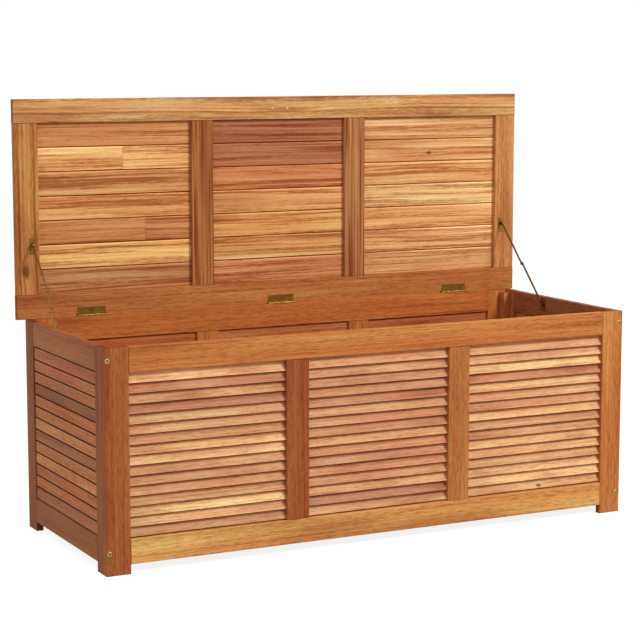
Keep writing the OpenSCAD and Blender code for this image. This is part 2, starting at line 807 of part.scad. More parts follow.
// Flat arm from the box pivot to the elbow, starting at x.
// end is 0 for the arm on the box pivot and 1 for the arm on the lid pivot.
module stay_arm(x, end) {
  difference() {
    translate([x, elbow_y, elbow_z]) rotate([arm_turn, 0, 0]) translate([0, end * arm_l, 0]) {
      block([0, -arm_l, -arm_w / 2], [arm_t, 0, arm_w / 2]);
      for (y = [-arm_l, 0]) translate([0, y, 0]) rotate([0, 90, 0]) cylinder(h = arm_t, r = eye_r);
    }
    if (end == 0) pivot(x - 1, stay_box_y, stay_box_z, arm_t + 2, rivet_r + 0.06);
    else pivot(x - 1, stay_lid_y, stay_lid_z, arm_t + 2, rivet_r + 0.06);
  }
}

module lower_arm(s) {
  side(s) {
    stay_arm(lower_x, 0);
    pivot(lower_x - 1.2, elbow_y, elbow_z, 1.2, rivet_head_r);
  }
}

module upper_arm(s) {
  side(s) {
    stay_arm(upper_x, 1);
    pivot(upper_x + arm_t, elbow_y, elbow_z, 1.2, rivet_head_r);
  }
}

module stay_box_plates() color(bronze) at_row() for (s = [-1, 1]) stay_box_plate(s);
module stay_box_screws() color(bronze) at_row() for (s = [-1, 1]) side(s) stay_box_screw_set();
module stay_lid_brackets() color(bronze) at_row() for (s = [-1, 1]) stay_lid_bracket(s);
module stay_lid_screws() color(bronze) at_row() for (s = [-1, 1])
  side(s) opened() stay_lid_screw_set();
module left_lower_arm() color(bronze) at_row() lower_arm(-1);
module left_upper_arm() color(bronze) at_row() upper_arm(-1);
module right_lower_arm() color(bronze) at_row() lower_arm(1);
module right_upper_arm() color(bronze) at_row() upper_arm(1);

front_left_post();
front_right_post();
front_top_rail();
front_bottom_rail();
front_left_bar();
front_right_bar();
louvres_left();
louvres_centre();
louvres_right();
left_front_stile();
left_rear_stile();
left_top_rail();
left_bottom_rail();
left_slats();
right_front_stile();
right_rear_stile();
right_top_rail();
right_bottom_rail();
right_slats();
back_left_stile();
back_right_stile();
back_top_rail();
back_bottom_rail();
back_left_bar();
back_right_bar();
back_slats_left();
back_slats_centre();
back_slats_right();
corner_battens();
batten_screws();
floor_ledgers();
floor_boards();
floor_screws();
front_bolts();
back_bolts();
barrel_nuts();
hinge_box_leaves();
hinge_pins();
hinge_box_screws();
stay_box_plates();
stay_box_screws();
lid_front_rail();
lid_rear_rail();
lid_left_stile();
lid_right_stile();
lid_left_bar();
lid_right_bar();
lid_slats_left();
lid_slats_centre();
lid_slats_right();
hinge_lid_leaves();
hinge_lid_screws();
stay_lid_brackets();
stay_lid_screws();
lid_handle();
handle_screws();
left_lower_arm();
left_upper_arm();
right_lower_arm();
right_upper_arm();
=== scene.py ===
# %% [markdown]
# # A hardwood deck storage box
# The frame, slats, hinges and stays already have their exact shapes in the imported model.
# This lesson dresses them: oiled acacia for every board, aged metal for the fittings,
# and finer versions of the small fittings that deserve a closer look.

# %% Load the frame
from collections import namedtuple
import math
import random
import bpy
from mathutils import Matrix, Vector


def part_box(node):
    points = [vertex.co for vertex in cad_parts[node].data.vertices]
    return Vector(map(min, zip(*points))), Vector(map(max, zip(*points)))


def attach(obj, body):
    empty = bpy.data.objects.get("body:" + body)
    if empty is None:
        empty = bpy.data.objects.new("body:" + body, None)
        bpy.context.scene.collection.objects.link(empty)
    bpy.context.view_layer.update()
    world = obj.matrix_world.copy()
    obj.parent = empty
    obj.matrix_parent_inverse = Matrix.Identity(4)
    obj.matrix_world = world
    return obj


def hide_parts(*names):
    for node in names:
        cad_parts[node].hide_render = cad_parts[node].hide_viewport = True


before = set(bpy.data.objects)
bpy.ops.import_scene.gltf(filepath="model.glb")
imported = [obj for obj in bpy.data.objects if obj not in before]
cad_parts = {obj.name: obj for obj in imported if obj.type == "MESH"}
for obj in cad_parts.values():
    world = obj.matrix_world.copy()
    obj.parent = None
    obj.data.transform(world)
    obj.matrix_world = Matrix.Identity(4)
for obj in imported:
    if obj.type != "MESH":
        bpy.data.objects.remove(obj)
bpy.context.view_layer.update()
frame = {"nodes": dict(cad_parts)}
bpy.ops.object.select_all(action="DESELECT")
nodes = frame["nodes"]

# %% [markdown]
# The camera stands a little left of the box and looks slightly down, through a long lens.
# A long lens keeps the rails nearly parallel, which suits a piece of furniture.

# %% The camera
LENS, STAND = 109.27, (-1.89307, -3.67625, 0.99922)
LOOK_DOWN, TURN_RIGHT = 7.817, 27.124
camera_data = bpy.data.cameras.new("camera")
camera_data.lens = LENS
camera_data.sensor_width = 36
camera = bpy.data.objects.new("camera", camera_data)
camera.location = STAND
camera.rotation_euler = (math.radians(90 - LOOK_DOWN), 0, math.radians(-TURN_RIGHT))
bpy.context.scene.collection.objects.link(camera)
bpy.context.scene.camera = camera
bpy.context.scene.view_settings.view_transform = "Standard"
print("lens", camera_data.lens, "mm, height", round(camera.location.z, 3), "m")

# %% [markdown]
# A material is a tree of nodes. Written out one by one the trees would be hard to read,
# so a small class holds one socket and turns ordinary sums on it into Math nodes.

# %% Shader sums as Python
class Value:
    """One output of a node. Sums on it add Math nodes."""

    def __init__(self, nodes, socket):
        self.nodes, self.socket = nodes, socket

    def math(self, operation, *others):
        return self.nodes.node("Math", {"operation": operation}, dict(enumerate((self, *others))))

    def __add__(self, other):
        return self.math("ADD", other)

    def __sub__(self, other):
        return self.math("SUBTRACT", other)

    def __rsub__(self, other):
        return (self * -1) + other

    def __mul__(self, other):
        return self.math("MULTIPLY", other)

    def __truediv__(self, other):
        return self.math("DIVIDE", other)

    def clamped(self):
        return self.math("MAXIMUM", 0.0).math("MINIMUM", 1.0)

    __radd__ = __add__
    __rmul__ = __mul__


print("a value can be added, taken away, multiplied, divided and clamped")

# %% [markdown]
# A second class holds the tree, and adds any other node from its type, settings and inputs.
# Colours and directions go through the nodes made for them, since a Math node would turn a
# colour grey. A finish is such a tree with a material round it.

# %% Trees of nodes
class Nodes:
    """A tree of nodes and the ways to add to it."""

    def __init__(self, tree):
        self.tree = tree

    def node(self, kind, settings=None, inputs=None, out=0):
        new = self.tree.nodes.new("ShaderNode" + kind)
        for key, value in (settings or {}).items():
            setattr(new, key, value)
        self.fill(new, inputs or {})
        return Value(self, new.outputs[out])

    def outputs(self, kind, inputs=None):
        """All outputs of a new node, such as the three numbers of a place."""
        sockets = self.node(kind, {}, inputs).socket.node.outputs
        return {socket.name: Value(self, socket) for socket in sockets}

    def fill(self, new, inputs):
        """Links values to a node's inputs, and writes numbers straight on them."""
        for key, value in inputs.items():
            if isinstance(key, int):
                socket = new.inputs[key]
            else:
                socket = next(s for s in new.inputs if key in (s.identifier, s.name))
            if isinstance(value, Value):
                self.tree.links.new(value.socket, socket)
            else:
                socket.default_value = value

    def mix(self, amount, a, b, blend="MIX"):
        """Colour a turned towards colour b."""
        settings = {"data_type": "RGBA", "blend_type": blend}
        inputs = {"Factor_Float": amount, "A_Color": a, "B_Color": b}
        return self.node("Mix", settings, inputs, 2)

    def vector(self, operation, a, b=(0.0, 0.0, 0.0)):
        out = 1 if operation in ("LENGTH", "DOT_PRODUCT") else 0
        return self.node("VectorMath", {"operation": operation}, {0: a, 1: b}, out)

    def noise(self, at, detail=2.0, rough=0.5):
        inputs = {"Vector": at, "Scale": 1.0, "Detail": detail, "Roughness": rough}
        return self.node("TexNoise", {}, inputs)

    def spread(self, value, low, high):
        """The value stretched so that low becomes 0 and high becomes 1."""
        return ((value - low) / (high - low)).clamped()


class Finish(Nodes):
    """A material and its tree."""

    def __init__(self, name):
        self.material = bpy.data.materials.new(name)
        self.material.use_nodes = True
        super().__init__(self.material.node_tree)
        self.surface = self.tree.nodes["Principled BSDF"]


print("trees take any node, and a finish is a tree with its material")

# %% [markdown]
# Tones are easiest to judge on a painter's chart, which runs from 0 to 255 in steps that
# look even to the eye. The renderer works in amounts of light, so each tone is changed over.

# %% Chart colours
WHITE = (1, 1, 1, 1)


def linear(red, green, blue):
    """A colour as a painter's chart gives it, 0 to 255, in the renderer's own units."""
    parts = [v / 255 for v in (red, green, blue)]
    return (*[v / 12.92 if v <= 0.04045 else ((v + 0.055) / 1.055) ** 2.4 for v in parts], 1.0)


print("honey in renderer units:", [round(v, 3) for v in linear(226, 168, 108)])

# %% [markdown]
# The box stands on a plain white floor, which takes the soft shadow under it. The floor
# could be made white by strong lamps, but they would bleach the wood. So a share of its
# whiteness is added only for the camera and for reflections.

# %% The floor
bpy.ops.mesh.primitive_plane_add(size=60, location=(0, 0, -0.0004))
floor = bpy.context.object
floor.name = "floor"
PAPER_GREY, PAPER_GLOW = 0.30, 0.86


def seen(tree):
    """1 where the camera looks, straight or by way of metal or glass, and 0 for the light."""
    rays = tree.outputs("LightPath")
    return rays["Is Camera Ray"].math("MAXIMUM", rays["Is Glossy Ray"]).math(
        "MAXIMUM", rays["Is Transmission Ray"])


paper = Finish("white floor")
paper.fill(paper.surface, {"Base Color": (PAPER_GREY, PAPER_GREY, PAPER_GREY, 1),
                           "Roughness": 0.9, "Specular IOR Level": 0.0})
glow = paper.node("Emission", {}, {"Color": WHITE, "Strength": seen(paper) * PAPER_GLOW})
lit = paper.node("AddShader", {}, {0: Value(paper, paper.surface.outputs[0]), 1: glow})
paper.fill(paper.tree.nodes["Material Output"], {"Surface": lit})
floor.data.materials.append(paper.material)
print("floor:", PAPER_GREY, "grey with a glow of", PAPER_GLOW)

# %% [markdown]
# The sky is an even white that lights the box from all sides at half strength, and looks
# fully white to the camera. A key lamp at the right gives the soft shadow. Two weaker lamps
# keep the left end and the back from going dark.

# %% Sky and lamps
SKY_LEVEL = 0.50
world = bpy.data.worlds.new("studio")
world.use_nodes = True
bpy.context.scene.world = world
sky = Nodes(world.node_tree)
sky.fill(sky.tree.nodes["Background"],
         {"Color": WHITE, "Strength": seen(sky) * (1.0 - SKY_LEVEL) + SKY_LEVEL})


def lamp(name, place, aim, size, watts):
    """A square lamp, size metres wide, at place and pointed at aim."""
    data = bpy.data.lights.new(name, "AREA")
    data.size = size
    data.energy = watts
    obj = bpy.data.objects.new(name, data)
    obj.location = place
    obj.rotation_euler = (Vector(aim) - Vector(place)).to_track_quat("-Z", "Y").to_euler()
    bpy.context.scene.collection.objects.link(obj)


lamp("key", (2.6, -4.2, 3.7), (0, 0, 0.4), 1.3, 235)
lamp("left fill", (-4.2, -1.2, 2.4), (-0.6, 0, 0.3), 2.5, 36)
lamp("back fill", (-1.5, 4.5, 3.2), (0, 0, 0.5), 3.0, 60)

# %% [markdown]
# Every board is cut from acacia, a wood with golden, rosy and brown boards side by side.
# A board's figure comes from the tree, so the finish is worked out in the board's own
# directions: along the grain, over its width, and through its thickness.

# %% The board's directions
AXES = "XYZ"
NORMAL, OBJECT_PLACE = 1, 3  # which outputs of Texture Coordinate give them


def third_axis(along, wide):
    """The axis through the board."""
    return (set(AXES) - {along, wide}).pop()


def board_place(f, along, wide):
    """The point itself, and how far it is along, over and through the board, in metres."""
    place = f.node("TexCoord", out=OBJECT_PLACE)
    split = f.outputs("SeparateXYZ", {0: place})
    return place, [split[axis] for axis in (along, wide, third_axis(along, wide))]


def stretched(f, at, along, across):
    """The place for a noise with about so many waves in a metre along and across."""
    return f.vector("MULTIPLY", at, (along, across, across))


print("grain first, then width, then thickness")

# %% [markdown]
# Growth rings lie round the pith, the middle of the tree, somewhere below the board. Their
# bands follow the distance from it, so one coordinate, the distance, carries them all. Slow
# waves bend them into long flames, and a knot pushes them aside.

# %% Growth rings and knots
def ring_distance(f, over, through, grain, waviness):
    """The distance from the pith, with slow waves of up to half the waviness, in metres."""
    across = f.node("CombineXYZ", {}, {0: over, 1: through})
    wave = f.noise(stretched(f, grain, 1.8, 11.0), 1.0) - 0.5
    return f.vector("LENGTH", across) + wave * waviness


def knot_distance(f, u, v, knot):
    """How many knot radii away the point is. Knots are a little longer than wide."""
    spot = f.node("CombineXYZ", {}, {0: (u - knot[0]) * 0.5, 1: v - knot[1]})
    return f.vector("LENGTH", spot) / knot[2]


def bent(f, grain, amount):
    """Grain that wanders sideways by up to about half the amount, in metres."""
    sway = f.noise(stretched(f, grain, 3.0, 16.0), 1.0) - 0.5
    sideways = f.node("CombineXYZ", {}, {1: sway * amount, 2: sway * amount})
    return f.vector("ADD", grain, sideways)


print("rings, knots and sway are ready")

# %% [markdown]
# Four scales of figure are added up. Rings give the flames, two sets of long streaks give
# the stripes, and short flecks give the brushed look. One colour ramp then turns the sum
# into light and dark wood. Five mixes cover the box. Plain boards and louvres show mostly
# flecks, striped and bold ones mostly streaks, and flamed ones mostly rings.

# %% Light and dark wood
# The shares of rings, broad streaks, fine streaks and flecks add up to 1. Rings and patches
# are counted in a metre, and sway is how far the streaks wander, in metres.
Figure = namedtuple("Figure", "shares rings sway strength patches patch_strength")
FIGURES = {
    "plain": Figure((0.14, 0.16, 0.18, 0.52), 220, 0.012, 0.58, 2.5, 0.76),
    "stripe": Figure((0.12, 0.36, 0.34, 0.18), 150, 0.010, 0.90, 2.6, 0.55),
    "bold": Figure((0.02, 0.34, 0.60, 0.04), 150, 0.004, 1.00, 2.0, 0.80),
    "flame": Figure((0.52, 0.10, 0.16, 0.22), 70, 0.050, 0.80, 4.0, 0.70),
    "louvre": Figure((0.02, 0.14, 0.30, 0.54), 260, 0.008, 0.50, 7.0, 0.62),
}
DARK_WOOD, MIDDLE_WOOD = (0.46, 0.23, 0.13, 1), (0.87, 0.73, 0.60, 1)


def figure_of(f, grain, radius, kind):
    """How light the wood is, 0 to 1, and its flecks alone."""
    rings = f.node("TexNoise", {"noise_dimensions": "1D"},
                   {"W": radius * kind.rings, "Scale": 1.0, "Detail": 2.0, "Roughness": 0.6})
    broad = f.noise(stretched(f, grain, 1.3, 75.0), 2.0)
    fine = f.noise(stretched(f, grain, 3.5, 260.0), 2.0, 0.6)
    flecks = f.noise(stretched(f, grain, 45.0, 430.0), 3.0, 0.65)
    parts = zip((rings, broad, fine, flecks), kind.shares)
    return f.spread(sum(part * share for part, share in parts), 0.425, 0.565), flecks


def ramp_colour(f, amount, stops, smooth="LINEAR"):
    """A colour ramp with the given (place, colour) stops."""
    ramp = f.node("ValToRGB", {}, {0: amount})
    band = ramp.socket.node.color_ramp
    band.interpolation = smooth
    while len(band.elements) < len(stops):
        band.elements.new(1.0)
    for element, (place, colour) in zip(band.elements, stops):
        element.position, element.color = place, colour
    return ramp


print("figures:", sorted(FIGURES))

# %% [markdown]
# Oil brings out soft patches of gold, of rose and of dusky brown, which drift along the
# boards. Dark veins, pale threads and short open pores lie over them.

# %% Patches, veins and pores
GOLD, DUSK, ROSE = (1.16, 1.42, 1.52, 1), (0.66, 0.47, 0.46, 1), (1.02, 0.86, 0.86, 1)
VEIN, THREAD, PORE = (0.55, 0.32, 0.20, 1), (1.20, 1.46, 1.60, 1), (0.50, 0.30, 0.19, 1)


def patches(f, colour, grain, per_metre, strength):
    """The colour with gold, dusky and rosy patches."""
    patch = f.noise(stretched(f, grain, per_metre, 20.0), 1.0)
    gold = f.spread(patch, 0.53, 0.70) * strength
    dusk = f.spread(patch, 0.44, 0.28) * strength
    blush = f.spread(f.noise(stretched(f, grain, per_metre * 0.7, 31.0), 1.0), 0.52, 0.66)
    colour = f.mix(gold, colour, GOLD, "MULTIPLY")
    colour = f.mix(dusk, colour, DUSK, "MULTIPLY")
    return f.mix(blush * strength, colour, ROSE, "MULTIPLY")


def veins_and_pores(f, colour, grain, strength):
    """The colour with its fine lines, and how deep in a pore a point is."""
    lines = f.noise(stretched(f, grain, 2.2, 230.0), 1.0)
    vein, thread = f.spread(lines, 0.62, 0.70), f.spread(lines, 0.40, 0.32)
    pore = f.spread(f.noise(stretched(f, grain, 70.0, 900.0), 1.0), 0.60, 0.72)
    colour = f.mix(vein * 0.60 * strength, colour, VEIN, "MULTIPLY")
    colour = f.mix(thread * 0.80 * strength, colour, THREAD, "MULTIPLY")
    return f.mix(pore * 0.40, colour, PORE, "MULTIPLY"), pore


print("gold", GOLD[:3], "dusk", DUSK[:3])

# %% [markdown]
# The same recipe finishes a single board and a row of slats. In a row each slat first gets
# a number, and from it a tone, its own part of the tree and its own pith. A few lid slats
# are glued up from two lengths with a finger joint, a zigzag line where the figure changes.

# %% Slats in a row
JOINTS_FROM, JOINTS_SPAN = -1.0, 3.0  # every joint's place is in this span, in metres
NO_JOINT = JOINTS_FROM + JOINTS_SPAN  # past the end of any slat
FINGER_WIDE, FINGER_LONG = 0.0035, 0.005


def numbered(f, place, row):
    """The slat's number, and how far over the slat the point is, in metres."""
    steps = (f.vector("DOT_PRODUCT", place, row["direction"]) - row["start"]) / row["pitch"]
    number = steps.math("FLOOR").math("MAXIMUM", 0.0).math("MINIMUM", len(row["tones"]) - 1.0)
    return number, (steps - number - 0.5) * row["pitch"]


def by_number(f, number, colours):
    """The colour in the list that belongs to the slat."""
    stops = [(i / len(colours), colour) for i, colour in enumerate(colours)]
    return ramp_colour(f, (number + 0.5) / len(colours), stops, "CONSTANT")


def finger_joint(f, u, v, number, places):
    """Distance past the joint along the slat. A ramp holds only colours, so the joints'
    places go through it as greys between 0 and 1."""
    greys = [((place - JOINTS_FROM) / JOINTS_SPAN,) * 3 + (1,) for place in places]
    joint = by_number(f, number, greys) * JOINTS_SPAN + JOINTS_FROM
    zigzag = (v / FINGER_WIDE).math("PINGPONG", 1.0) * FINGER_LONG
    return u - joint - zigzag


print("row helpers are ready")

# %% [markdown]
# A board's figure depends on where it lay in the tree: how far off the pith was, and on
# which side. A single board draws this from its seed. The slats of a row share one finish,
# so each draws it from a noise node that reads the slat's number.

# %% A board's place in the tree
def row_start(f, u, v, number, over, row, seed):
    """Shift, place over and through the tree, tone and finger joint of a slat in a row."""
    piece, joint = number, None
    if "joints" in row:
        joint = finger_joint(f, u, v, number, row["joints"])
        piece = number + joint.math("GREATER_THAN", 0.0) * 0.37
    lucky = f.node("TexWhiteNoise", {"noise_dimensions": "1D"}, {"W": piece + seed * 1.71}, 1)
    luck = f.outputs("SeparateXYZ", {0: lucky})
    over = over + (luck["X"] - 0.5) * 0.09
    through = luck["Y"] * 0.03 + 0.02
    base = by_number(f, number, [linear(*tone) for tone in row["tones"]])
    return f.vector("MULTIPLY", lucky, (9.0, 5.0, 5.0)), over, through, base, joint


def board_start(name, along, wide, tone, v, w, seed):
    """The same for a single board, which has no joint."""
    draw = random.Random(seed)
    low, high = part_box(name)
    middle = (low + high) / 2
    over = v - middle[AXES.index(wide)] + draw.choice((-1, 1)) * draw.uniform(0.02, 0.06)
    through = w - middle[AXES.index(third_axis(along, wide))] + draw.uniform(0.025, 0.05)
    return [draw.uniform(-8, 8) for _ in AXES], over, through, linear(*tone), None


print("boards and rows can be placed in the tree")

# %% [markdown]
# Marks lie over the figure. A knot is a ragged dark spot. A glue line and a seam are fine
# dark lines. The eased upper edge of each lid slat gets a painted highlight, and the lap
# below it gets painted shade. They could be modelled, but are too shallow to cast a shadow.

# %% Knots, joints and seams
KNOT, GLUE_LINE, SEAM = linear(92, 46, 26), linear(110, 60, 32), linear(84, 42, 18)
# painted highlight for the eased upper edge of each lid slat, where light catches the rounding
EDGE_HIGHLIGHT = (1.38, 1.50, 1.55, 1)
# how far from a lid slat's edge its painted highlight strip and its painted lap shade begin and
# are full, in metres
HIGHLIGHT_STRIP, LAP_SHADE = (0.0045, 0.0025), (0.0012, 0.0007)


def marked(f, colour, amount, strength, mark):
    """The colour with a mark painted over it, up to the given strength."""
    return f.mix(amount * strength, colour, mark)


def knotted(f, colour, grain, away):
    """A spot for each knot. away tells how many knot radii off each one is."""
    for a in away:
        ragged = a + (f.noise(stretched(f, grain, 150.0, 150.0)) - 0.5) * 0.6
        colour = marked(f, colour, f.spread(ragged, 1.5, 0.6), 0.8, KNOT)
    return colour


def jointed(f, colour, joint, rim, pitch):
    """A lid slat with its glue line and its painted edge highlight, and how far a point is in its
    shaded lap.
    """
    line = f.spread(joint.math("ABSOLUTE"), 0.0009, 0.0003)
    colour = marked(f, colour, line, 0.45, GLUE_LINE)
    end = pitch / 2
    # painted highlight on the upper edge; the mask returned below marks the lap, which gets
    # painted shade
    colour = f.mix(f.spread(rim, end - HIGHLIGHT_STRIP[0], end - HIGHLIGHT_STRIP[1]), colour, EDGE_HIGHLIGHT, "MULTIPLY")
    return colour, f.spread(rim.math("ABSOLUTE"), end - LAP_SHADE[0], end - LAP_SHADE[1])


def seamed(f, colour, u, ends):
    """Lines at the two places along the board where it stops against others."""
    gap = (u - ends[0]).math("MINIMUM", ends[1] - u).math("ABSOLUTE")
    return marked(f, colour, f.spread(gap, 0.0010, 0.0003), 0.6, SEAM)


print("knot colour:", [round(v, 3) for v in KNOT[:3]])

# %% [markdown]
# Sawn end grain drinks more oil than planed faces, so it is a little darker than the face.
# A slat's narrow edges, which show in the gaps between slats, get painted shade in dark brown.
# The upper strip of each louvre lies in the shadow of the one above, and is painted lighter.

# %% Edges and end grain
# painted shade: these dark colours stand in for the shade in the gaps between slats
GAP_SHADE = {"louvre": (0.34, 0.13, 0.05, 1), "stripe": (0.44, 0.22, 0.10, 1),
             "plain": (0.13, 0.06, 0.03, 1)}
# the second colour is painted light, which lifts the shadow each louvre casts on the one below
END_WOOD, SHADOW_LIFT = (0.66, 0.58, 0.52, 1), (1.30, 1.38, 1.45, 1)


def square_to(f, direction):
    """1 where the surface faces along the direction or against it, 0 where it runs with it."""
    normal = f.node("TexCoord", out=NORMAL)
    return f.vector("DOT_PRODUCT", normal, direction).math("ABSOLUTE")


def shade_gaps(f, colour, figure, row, lap_shade):
    """Painted shade on the narrow edges of a row's slats, and on the laps where there are any."""
    edge = f.spread(square_to(f, row["over"]), 0.6, 0.9)
    edge = edge.math("MAXIMUM", lap_shade) if lap_shade else edge
    return f.mix(edge, colour, GAP_SHADE[figure], "MULTIPLY")


def lift_louvre_shadow(f, colour, place, number, row):
    """Painted light on a louvre's upper strip, in the shadow of the louvre above. The centres of
    the row tell how far up a point is.
    """
    first, step = row["centres"]
    upper = f.vector("DOT_PRODUCT", place, row["over"]) - first - number * step
    return f.mix(f.spread(upper, 0.0030, 0.0060), colour, SHADOW_LIFT, "MULTIPLY")


print("edges:", sorted(GAP_SHADE))

# %% [markdown]
# All of this comes together in one recipe. The tone is the base, the figure and patches
# darken or warm it, and the marks and edges come last. Flecks and pores also rough up the
# surface a little, so that the light breaks on them as on brushed and oiled wood.

# %% Acacia
def acacia(name, along, wide, tone, figure="plain", seed=0, row=None, knots=(), ends=None):
    """Oiled acacia for the node called name. tone is a chart colour, row a row of slats."""
    f = Finish("acacia " + name.replace("_", " "))
    place, (u, v, w) = board_place(f, along, wide)
    if row:
        number, rim = numbered(f, place, row)
        start = row_start(f, u, v, number, rim, row, seed)
    else:
        start = board_start(name, along, wide, tone, v, w, seed)
    shift, over, through, base, joint = start
    kind = FIGURES[figure]
    grain = f.vector("ADD", f.node("CombineXYZ", {}, {0: u, 1: v, 2: w}), shift)
    radius = ring_distance(f, over, through, grain, 0.014 + kind.sway * 0.3)
    grain = bent(f, grain, kind.sway)
    away = [knot_distance(f, u, v, knot) for knot in knots]
    for a in away:
        radius = radius + (a * a + 1.0).math("POWER", -1.0) * 0.010

    amount, flecks = figure_of(f, grain, radius, kind)
    shade = ramp_colour(f, amount, [(0.0, DARK_WOOD), (0.45, MIDDLE_WOOD), (1.0, WHITE)])
    colour = f.mix(kind.strength, base, shade, "MULTIPLY")
    colour = patches(f, colour, grain, kind.patches, kind.patch_strength)
    colour, pore = veins_and_pores(f, colour, grain, kind.strength)
    colour, lap_shade = knotted(f, colour, grain, away), None
    if joint:
        colour, lap_shade = jointed(f, colour, joint, rim, row["pitch"])
    if ends:
        colour = seamed(f, colour, u, ends)
    end_grain = f.spread(square_to(f, [float(axis == along) for axis in AXES]), 0.6, 0.8)
    colour = f.mix(end_grain, colour, END_WOOD, "MULTIPLY")
    if row:
        # painted shade on the slats' narrow edges and laps, where the gaps between slats are in
        # shade
        colour = shade_gaps(f, colour, figure, row, lap_shade)
    if figure == "louvre":
        # painted light on the louvre's upper strip, in the shadow of the louvre above
        colour = lift_louvre_shadow(f, colour, place, number, row)

    height = flecks * 0.6 + amount * 0.3 - pore * 0.5
    bump = f.node("Bump", {}, {"Strength": 0.30, "Distance": 0.0004, "Height": height})
    rough = 0.56 + (flecks - 0.5) * 0.25 + end_grain * 0.2
    f.fill(f.surface, {"Base Color": colour, "Roughness": rough, "Normal": bump,
                       "Specular IOR Level": 0.10})
    return f.material


def dress(name, material):
    """Puts the finish on a CAD node, whose shape stays as it is."""
    node = nodes[name]
    if not node.material_slots:
        node.data.materials.append(None)
    for place in node.material_slots:
        place.material = material


print("acacia is ready")

# %% [markdown]
# The posts, rails, stiles and bars are single boards. Posts and bars have upright grain and
# rails have level grain, as a joiner would cut them. One finish could serve them all, but on
# real furniture each board is a little lighter or redder than the next, so each gets its own
# tone. The lid's bars are boldly striped, and its front rail and left stile are flamed.

# %% Frame boards
# where boards stop against each other, in metres along the grain
OPENING, LID_OPENING = (0.069, 0.395), (0.495, 0.855)
FRONT_SPAN, SIDE_SPAN, BACK_SPAN = (-0.549, 0.549), (-0.202, 0.158), (-0.535, 0.535)
FRAME_BOARDS = {
    # name: grain, face width, tone, seams
    "front_left_post": ("Z", "X", (178, 104, 54), None),
    "front_right_post": ("Z", "X", (204, 127, 67), None),
    "front_top_rail": ("X", "Z", (208, 131, 69), FRONT_SPAN),
    "front_bottom_rail": ("X", "Z", (231, 170, 98), FRONT_SPAN),
    "front_left_bar": ("Z", "X", (172, 97, 51), OPENING),
    "front_right_bar": ("Z", "X", (199, 130, 72), OPENING),
    "left_front_stile": ("Z", "Y", (163, 94, 39), None),
    "left_rear_stile": ("Z", "Y", (148, 81, 33), None),
    "left_top_rail": ("Y", "Z", (172, 103, 52), SIDE_SPAN),
    "left_bottom_rail": ("Y", "Z", (166, 99, 48), SIDE_SPAN),
    "right_front_stile": ("Z", "Y", (200, 122, 60), None),
    "right_rear_stile": ("Z", "Y", (184, 108, 52), None),
    # this tone is darkened and greyed as painted shade, for the shade on the rail's face inside
    # the box
    "right_top_rail": ("Y", "Z", (156, 100, 60), SIDE_SPAN),
    "right_bottom_rail": ("Y", "Z", (206, 140, 76), SIDE_SPAN),
    "back_left_stile": ("Z", "X", (190, 112, 56), None),
    "back_right_stile": ("Z", "X", (202, 124, 62), None),
    "back_top_rail": ("X", "Z", (196, 116, 56), BACK_SPAN),
    "back_bottom_rail": ("X", "Z", (208, 138, 74), BACK_SPAN),
    "back_left_bar": ("Z", "X", (198, 120, 60), OPENING),
    "back_right_bar": ("Z", "X", (188, 108, 52), OPENING),
    "corner_battens": ("Z", "X", (198, 126, 70), None),
    "floor_ledgers": ("X", "Z", (198, 126, 70), None),
    "lid_front_rail": ("X", "Z", (223, 172, 111), None),
    "lid_rear_rail": ("X", "Z", (190, 122, 66), None),
    "lid_left_stile": ("Z", "X", (204, 141, 78), LID_OPENING),
    "lid_right_stile": ("Z", "X", (215, 150, 87), LID_OPENING),
    "lid_left_bar": ("Z", "X", (183, 121, 66), LID_OPENING),
    "lid_right_bar": ("Z", "X", (189, 127, 79), LID_OPENING),
}
BOARD_KNOTS = {"lid_left_stile": [(0.545, -0.594, 0.007)]}
BOARD_FIGURES = {"lid_left_bar": "bold", "lid_right_bar": "bold", "lid_left_stile": "flame",
                 "lid_front_rail": "flame"}
for seed, (name, (along, wide, tone, ends)) in enumerate(FRAME_BOARDS.items()):
    figure = BOARD_FIGURES.get(name, "plain")
    knots = BOARD_KNOTS.get(name, ())
    dress(name, acacia(name, along, wide, tone, figure, seed + 1, knots=knots, ends=ends))
print("frame boards dressed:", len(FRAME_BOARDS))

# %% [markdown]
# A louvre lets air in and keeps rain out. A row of slats is one node, so its finish has to
# tell the slats apart. The place along the row, divided by the pitch and rounded down, is
# the slat's number. The louvres lean, so they are counted square to their faces, where they
# never overlap. Each letter is one tone, from the top slat down.

# %% Louvres
LEAN = math.radians(28)
LOUVRE_WIDE, LOUVRE_THICK = 0.024, 0.006
LOUVRE_SEED, LID_SEED, WALL_SEED, FLOOR_SEED = 40, 50, 60, 70  # so that no two rows match
TONES = {"h": (254, 210, 146), "g": (244, 192, 136), "a": (240, 186, 128),
         "t": (232, 174, 122), "r": (222, 164, 114), "s": (212, 154, 108),
         "u": (218, 150, 104), "m": (208, 144, 102), "d": (198, 134, 98)}


def louvre_row(name, letters):
    """A bay of louvres. centres is where the first slat's centre lies over its face, and the
    step from one slat to the next."""
    sin, cos = math.sin(LEAN), math.cos(LEAN)
    low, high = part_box(name)
    half = (LOUVRE_WIDE * cos + LOUVRE_THICK * sin) / 2
    pitch = (high.z - low.z - 2 * half) / (len(letters) - 1) * sin
    height, depth = low.z + half, (low.y + high.y) / 2
    return {"direction": (0.0, -cos, sin), "start": height * sin - depth * cos - pitch / 2,
            "over": (0.0, sin, cos), "pitch": pitch,
            "centres": (height * cos + depth * sin, pitch / math.tan(LEAN)),
            "tones": [TONES[c] for c in reversed(letters)]}


